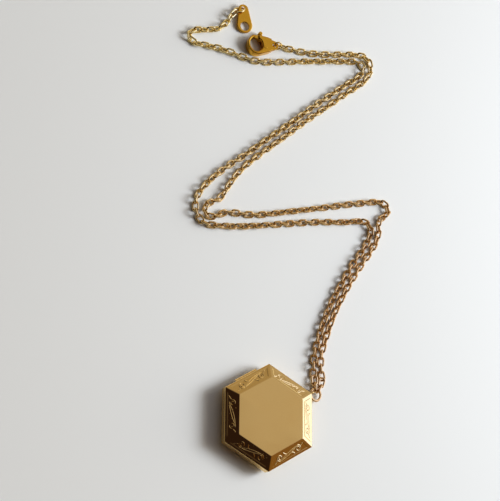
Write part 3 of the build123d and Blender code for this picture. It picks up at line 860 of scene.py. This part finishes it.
def make_table():
    half, drop = TABLE_HALF_SIZE, -TABLE_DROP * MM
    corners = [(-half, -half, drop), (half, -half, drop), (half, half, drop), (-half, half, drop)]
    table = mesh_object("table", corners, [(0, 1, 2, 3)], smooth=False)
    material, tree = new_material("matt_pale_board")
    place = add(tree, "ShaderNodeTexCoord").outputs["Object"]
    cloud = add(tree, "ShaderNodeTexNoise", Vector=place, Scale=BOARD_CLOUDS_PER_METRE,
                Detail=BOARD_CLOUD_DETAIL)
    blend = add(tree, "ShaderNodeMix", {"data_type": "RGBA"}, Factor=cloud.outputs["Fac"],
                i6=colour(BOARD_TONE), i7=colour(BOARD_LIGHT_TONE))
    shader = add(tree, "ShaderNodeBsdfPrincipled", Base_Color=blend.outputs[2],
                 Roughness=BOARD_ROUGHNESS)
    add(tree, "ShaderNodeOutputMaterial", Surface=shader.outputs[0])
    table.data.materials.append(material)
    return table


table = make_table()
print("table:", 2 * TABLE_HALF_SIZE, "m wide")

# %% [markdown]
# Polished gold is a mirror, so the room matters as much as the lamp. Its walls are a smooth
# gradient by direction: grey overhead, warmer at both sides, and dark on the side where the viewer
# stands, which is what turns two of the bevels deep brown. An opening is a rectangle with soft
# edges seen from the jewel. Both are worked out by nodes from the direction of a ray, since there
# is no room to model.

# %% Walls and openings
SHADE_BEHIND_VIEWER = "#2C201F"
SHADE_ENDS = (-0.2, 0.34)
WALL_LEFT, WALL_LEFT_STOP = "#ADA08B", 0.12
WALL_OVERHEAD, WALL_OVERHEAD_STOPS = "#C4BFBF", (0.42, 0.58)
WALL_RIGHT, WALL_RIGHT_STOP = "#866740", 0.8
# An opening's half sizes and softness are tangents of the angle off its middle, and a direction
# has to point ahead by OPENING_FRONT to meet it at all.
OPENING_SOFTNESS = 0.06
OPENING_FRONT = 0.1


def opening_mask(tree, direction, azimuth, elevation, half_width, half_height):
    """1 where a direction meets an opening's rectangle, 0 elsewhere, with soft edges."""
    turn, rise = math.radians(azimuth), math.radians(elevation)
    ahead = Vector((math.cos(rise) * math.cos(turn), math.cos(rise) * math.sin(turn),
                    math.sin(rise)))
    across = Vector((-math.sin(turn), math.cos(turn), 0))
    above = across.cross(ahead)
    depth = add(tree, "ShaderNodeVectorMath", {"operation": "DOT_PRODUCT"}, i0=direction,
                i1=ahead).outputs["Value"]
    mask = add(tree, "ShaderNodeMath", {"operation": "GREATER_THAN"}, i0=depth, i1=OPENING_FRONT)
    for axis, half in ((across, half_width), (above, half_height)):
        place = add(tree, "ShaderNodeVectorMath", {"operation": "DOT_PRODUCT"}, i0=direction,
                    i1=axis).outputs["Value"]
        ratio = add(tree, "ShaderNodeMath", {"operation": "DIVIDE"}, i0=place, i1=depth)
        size = add(tree, "ShaderNodeMath", {"operation": "ABSOLUTE"}, i0=ratio.outputs[0])
        inside = add(tree, "ShaderNodeMapRange", {"interpolation_type": "SMOOTHSTEP"},
                     Value=size.outputs[0], From_Min=half + OPENING_SOFTNESS,
                     From_Max=half - OPENING_SOFTNESS)
        mask = add(tree, "ShaderNodeMath", {"operation": "MULTIPLY"}, i0=mask.outputs[0],
                   i1=inside.outputs[0])
    return mask.outputs[0]


def gradient_walls(tree, direction):
    """The room's own colour by direction: along X the walls, along Y the shade."""
    split = add(tree, "ShaderNodeSeparateXYZ", Vector=direction)
    sideways = add(tree, "ShaderNodeMapRange", Value=split.outputs["X"], From_Min=-1.0,
                   From_Max=1.0)
    walls = add(tree, "ShaderNodeValToRGB", Fac=sideways.outputs[0])
    stops = walls.color_ramp.elements
    stops[0].position, stops[0].color = WALL_LEFT_STOP, colour(WALL_LEFT)
    stops[1].position, stops[1].color = WALL_RIGHT_STOP, colour(WALL_RIGHT)
    for position in WALL_OVERHEAD_STOPS:
        stops.new(position).color = colour(WALL_OVERHEAD)
    backward = add(tree, "ShaderNodeMapRange", {"interpolation_type": "SMOOTHSTEP"},
                   Value=split.outputs["Y"], From_Min=SHADE_ENDS[0], From_Max=SHADE_ENDS[1])
    shade = add(tree, "ShaderNodeMix", {"data_type": "RGBA"}, Factor=backward.outputs[0],
                i6=colour(SHADE_BEHIND_VIEWER), i7=walls.outputs["Color"])
    return shade.outputs[2]


print("the walls turn dark from Y =", SHADE_ENDS[1], "to", SHADE_ENDS[0], "of a ray's direction")

# %% [markdown]
# Two openings are set into the walls. The large window makes one bevel nearly white. It casts a
# warm light, but metal mirrors it in a cooler tone, which no real window does: the two tones are
# set apart so that the gold and the table both come out right. The low doorway, beyond the far end
# of the chain, lights the edges of the scrolls on the bevel that faces it. The viewer sees none of
# this, only a plain pale backdrop.

# %% Room
WINDOW = dict(azimuth=68.0, elevation=28.0, half_width=0.38, half_height=0.45)
WINDOW_TONE, WINDOW_STRENGTH = "#FFF6E6", 4.2
MIRRORED_WINDOW_TONE, MIRRORED_WINDOW_STRENGTH = "#B4C4FF", 3.3
DOORWAY = dict(azimuth=150.0, elevation=1.0, half_width=0.3, half_height=0.1)
DOORWAY_TONE, DOORWAY_STRENGTH = "#FFF0D8", 1.8
BACKDROP = "#ECEDEE"


def make_room():
    world = bpy.data.worlds.new("room")
    world.use_nodes = True
    bpy.context.scene.world = world
    tree = world.node_tree
    tree.nodes.clear()
    direction = add(tree, "ShaderNodeTexCoord").outputs["Generated"]
    walls = gradient_walls(tree, direction)
    room = add(tree, "ShaderNodeBackground", Color=walls, Strength=1.0)
    ray = add(tree, "ShaderNodeLightPath")
    cast = add(tree, "ShaderNodeBackground", Color=colour(WINDOW_TONE), Strength=WINDOW_STRENGTH)
    mirrored = add(tree, "ShaderNodeBackground", Color=colour(MIRRORED_WINDOW_TONE),
                   Strength=MIRRORED_WINDOW_STRENGTH)
    window = add(tree, "ShaderNodeMixShader", Fac=ray.outputs["Is Glossy Ray"],
                 i1=cast.outputs[0], i2=mirrored.outputs[0])
    doorway = add(tree, "ShaderNodeBackground", Color=colour(DOORWAY_TONE),
                  Strength=DOORWAY_STRENGTH)
    with_door = add(tree, "ShaderNodeMixShader", Fac=opening_mask(tree, direction, **DOORWAY),
                    i1=room.outputs[0], i2=doorway.outputs[0])
    lit = add(tree, "ShaderNodeMixShader", Fac=opening_mask(tree, direction, **WINDOW),
              i1=with_door.outputs[0], i2=window.outputs[0])
    backdrop = add(tree, "ShaderNodeBackground", Color=colour(BACKDROP), Strength=1.0)
    mix = add(tree, "ShaderNodeMixShader", Fac=ray.outputs["Is Camera Ray"], i1=lit.outputs[0],
              i2=backdrop.outputs[0])
    add(tree, "ShaderNodeOutputWorld", Surface=mix.outputs[0])
    return world


world = make_room()
print("room:", len(world.node_tree.nodes), "nodes")

# %% [markdown]
# One disk lamp stands on the window's side and gives the shadows their direction. Its size sets how
# soft their edges are. Metal doesn't mirror the lamp, since the window is already there to be
# mirrored.

# %% Lamp
LAMP_AIM = Vector((-0.05, 0.04, 0))
LAMP_DIRECTION = Vector((0.402, 0.714, 0.574))
LAMP_DISTANCE = 0.45
LAMP_SIZE = 0.2
LAMP_POWER = 1.86
LAMP_COLOUR = "#F3F8FF"


def make_lamp():
    lamp = bpy.data.lights.new("window_lamp", "AREA")
    lamp.shape = "DISK"
    lamp.size = LAMP_SIZE
    lamp.energy = LAMP_POWER
    lamp.color = colour(LAMP_COLOUR)[:3]
    holder = bpy.data.objects.new("window_lamp", lamp)
    direction = LAMP_DIRECTION.normalized()
    holder.location = LAMP_AIM + direction * LAMP_DISTANCE
    holder.rotation_mode = "QUATERNION"
    holder.rotation_quaternion = (-direction).to_track_quat("-Z", "Y")
    holder.visible_glossy = False
    bpy.context.scene.collection.objects.link(holder)


make_lamp()
print("lamp", LAMP_POWER, "W at", LAMP_DISTANCE, "m")
